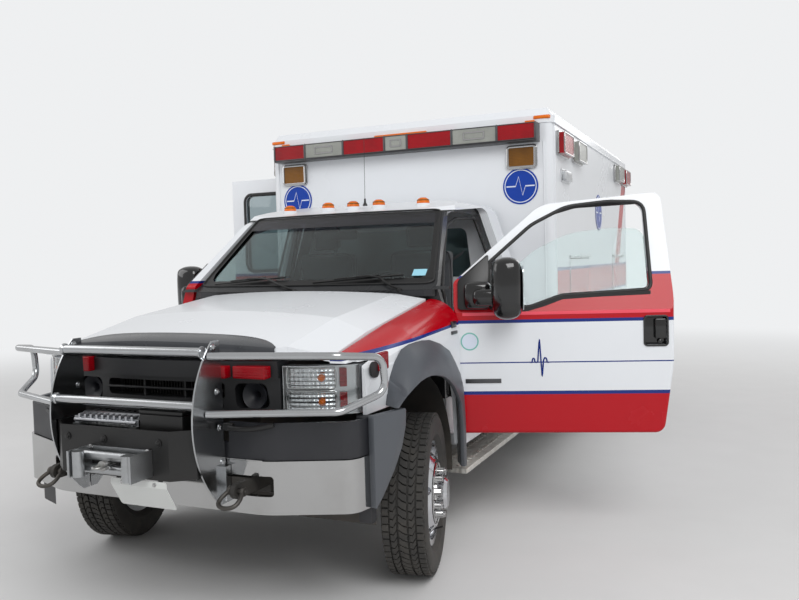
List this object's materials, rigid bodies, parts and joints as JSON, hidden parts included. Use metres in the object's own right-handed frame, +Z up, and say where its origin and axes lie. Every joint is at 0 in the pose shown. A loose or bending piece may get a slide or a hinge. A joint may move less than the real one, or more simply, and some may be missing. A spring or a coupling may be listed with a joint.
{
  "type": "ambulance",
  "caption": "Chassis-cab ambulance with a square patient module, stainless push guard and winch, twin rear wheels, and hinged cab, module and locker doors.",
  "frame": {"origin": "on the ground at the middle of the overall box", "axes": "+Z up; the front faces -Y, so +X is the vehicle's left"},
  "size_m": [4.231, 7.289, 2.7149],
  "materials": {
    "frame_black": "semi-gloss chassis paint",
    "cast_metal": "cast metal",
    "white_paint": "gloss white paint with coloured stripes",
    "dark_plastic": "grained dark plastic",
    "clear_glass": "lightly tinted glass",
    "lamp_clear": "clear ribbed lens",
    "lamp_red": "red ribbed lens",
    "lamp_amber": "amber lens",
    "bright_chrome": "bright plating",
    "polished_steel": "polished stainless steel",
    "tray_black": "black powder coat",
    "plate_paint": "blank pale plate",
    "tyre": "tread rubber",
    "wheel_metal": "polished wheel",
    "seat_cover": "dark vinyl",
    "interior_panel": "pale laminate",
    "floor_metal": "floor plate",
    "tread_plate": "diamond tread plate"
  },
  "bodies": {
    "chassis": {"frame_rails": "frame_black", "front_axle": "frame_black", "rear_axle": "frame_black", "engine_block": "cast_metal", "driveline": "frame_black", "cab_shell": "white_paint", "cab_glass": "clear_glass", "cowl_panel": "dark_plastic", "front_fenders": "white_paint", "fender_flares": "dark_plastic", "grille": "dark_plastic", "headlamps": "lamp_clear", "bumper": "bright_chrome", "bumper_cover": "dark_plastic", "guard": "polished_steel", "winch_tray": "tray_black", "winch": "polished_steel", "number_plate": "plate_paint", "seat_bases": "dark_plastic", "seat_cushions": "seat_cover", "dashboard": "dark_plastic", "module_floor": "floor_metal", "module_walls": "white_paint", "module_posts": "white_paint", "module_roof": "white_paint", "cabinets": "interior_panel", "bench_cushions": "seat_cover", "red_lamps": "lamp_red", "clear_lamps": "lamp_clear", "amber_lamps": "lamp_amber", "running_boards": "tread_plate", "rear_step": "tread_plate"},
    "left_knuckle": {"left_knuckle": "cast_metal"},
    "right_knuckle": {"right_knuckle": "cast_metal"},
    "front_left_wheel": {"front_left_tyre": "tyre", "front_left_wheel": "wheel_metal"},
    "front_right_wheel": {"front_right_tyre": "tyre", "front_right_wheel": "wheel_metal"},
    "rear_left_wheels": {"rear_left_tyres": "tyre", "rear_left_wheels": "wheel_metal"},
    "rear_right_wheels": {"rear_right_tyres": "tyre", "rear_right_wheels": "wheel_metal"},
    "steering_wheel": {"steering_wheel": "dark_plastic"},
    "hood": {"hood": "white_paint"},
    "left_door": {"left_door": "white_paint", "left_door_glass": "clear_glass", "left_mirror": "dark_plastic"},
    "right_door": {"right_door": "white_paint", "right_door_glass": "clear_glass", "right_mirror": "dark_plastic"},
    "side_door": {"side_door": "white_paint", "side_door_glass": "clear_glass"},
    "rear_left_door": {"rear_left_door": "white_paint", "rear_left_door_glass": "clear_glass"},
    "rear_right_door": {"rear_right_door": "white_paint", "rear_right_door_glass": "clear_glass"},
    "left_front_locker_door": {"left_front_locker_door": "white_paint"},
    "left_rear_locker_door": {"left_rear_locker_door": "white_paint"},
    "right_rear_locker_door": {"right_rear_locker_door": "white_paint"}
  },
  "joints": [
    {"name": "left_steer", "type": "hinge", "parent": "chassis", "child": "left_knuckle", "pos_m": [0.83, -2.4, 0.409], "axis": [0, 0, 1], "range_deg": [-45, 19]},
    {"name": "right_steer", "type": "hinge", "parent": "chassis", "child": "right_knuckle", "pos_m": [-0.83, -2.4, 0.409], "axis": [0, 0, 1], "range_deg": [-45, 19]},
    {"name": "steering_wheel_turn", "type": "hinge", "parent": "chassis", "child": "steering_wheel", "pos_m": [0.38, -1.39, 1.37], "axis": [0, 0.8829, 0.4695], "range_deg": [-720, 304]},
    {"name": "front_left_spin", "type": "hinge", "parent": "left_knuckle", "child": "front_left_wheel", "pos_m": [0.9401, -2.37458, 0.409], "axis": [0.9744, 0.225, 0], "continuous": true},
    {"name": "front_right_spin", "type": "hinge", "parent": "right_knuckle", "child": "front_right_wheel", "pos_m": [-0.9401, -2.42542, 0.409], "axis": [0.9744, 0.225, 0], "continuous": true},
    {"name": "rear_left_spin", "type": "hinge", "parent": "chassis", "child": "rear_left_wheels", "pos_m": [0.81, 1.791, 0.409], "axis": [1, 0, 0], "continuous": true},
    {"name": "rear_right_spin", "type": "hinge", "parent": "chassis", "child": "rear_right_wheels", "pos_m": [-0.81, 1.791, 0.409], "axis": [1, 0, 0], "continuous": true},
    {"name": "hood_hinge", "type": "hinge", "parent": "chassis", "child": "hood", "pos_m": [0, -1.86, 1.43], "axis": [-1, 0, 0], "range_deg": [0, 50]},
    {"name": "left_door_hinge", "type": "hinge", "parent": "chassis", "child": "left_door", "pos_m": [0.98, -1.8, 1.2], "axis": [0, 0, 1], "range_deg": [0, 72.5]},
    {"name": "right_door_hinge", "type": "hinge", "parent": "chassis", "child": "right_door", "pos_m": [-0.98, -1.8, 1.2], "axis": [0, 0, 1], "range_deg": [0, 72.5]},
    {"name": "side_door_hinge", "type": "hinge", "parent": "chassis", "child": "side_door", "pos_m": [-1.219, 0.336, 1.5], "axis": [0, 0, 1], "range_deg": [-90, 0]},
    {"name": "rear_left_door_hinge", "type": "hinge", "parent": "chassis", "child": "rear_left_door", "pos_m": [0.765, 3.408, 1.6], "axis": [0, 0, -1], "range_deg": [0, 100]},
    {"name": "rear_right_door_hinge", "type": "hinge", "parent": "chassis", "child": "rear_right_door", "pos_m": [-0.765, 3.408, 1.6], "axis": [0, 0, 1], "range_deg": [0, 100]},
    {"name": "left_front_locker_hinge", "type": "hinge", "parent": "chassis", "child": "left_front_locker_door", "pos_m": [1.219, 0.236, 1.1], "axis": [0, 0, -1], "range_deg": [0, 90]},
    {"name": "left_rear_locker_hinge", "type": "hinge", "parent": "chassis", "child": "left_rear_locker_door", "pos_m": [1.219, 2.366, 1.1], "axis": [0, 0, -1], "range_deg": [0, 90]},
    {"name": "right_rear_locker_hinge", "type": "hinge", "parent": "chassis", "child": "right_rear_locker_door", "pos_m": [-1.219, 2.366, 1.1], "axis": [0, 0, 1], "range_deg": [0, 90]}
  ],
  "couplings": [
    {"joint": "right_steer", "follows": "left_steer", "ratio": 1},
    {"joint": "steering_wheel_turn", "follows": "left_steer", "ratio": 16}
  ]
}
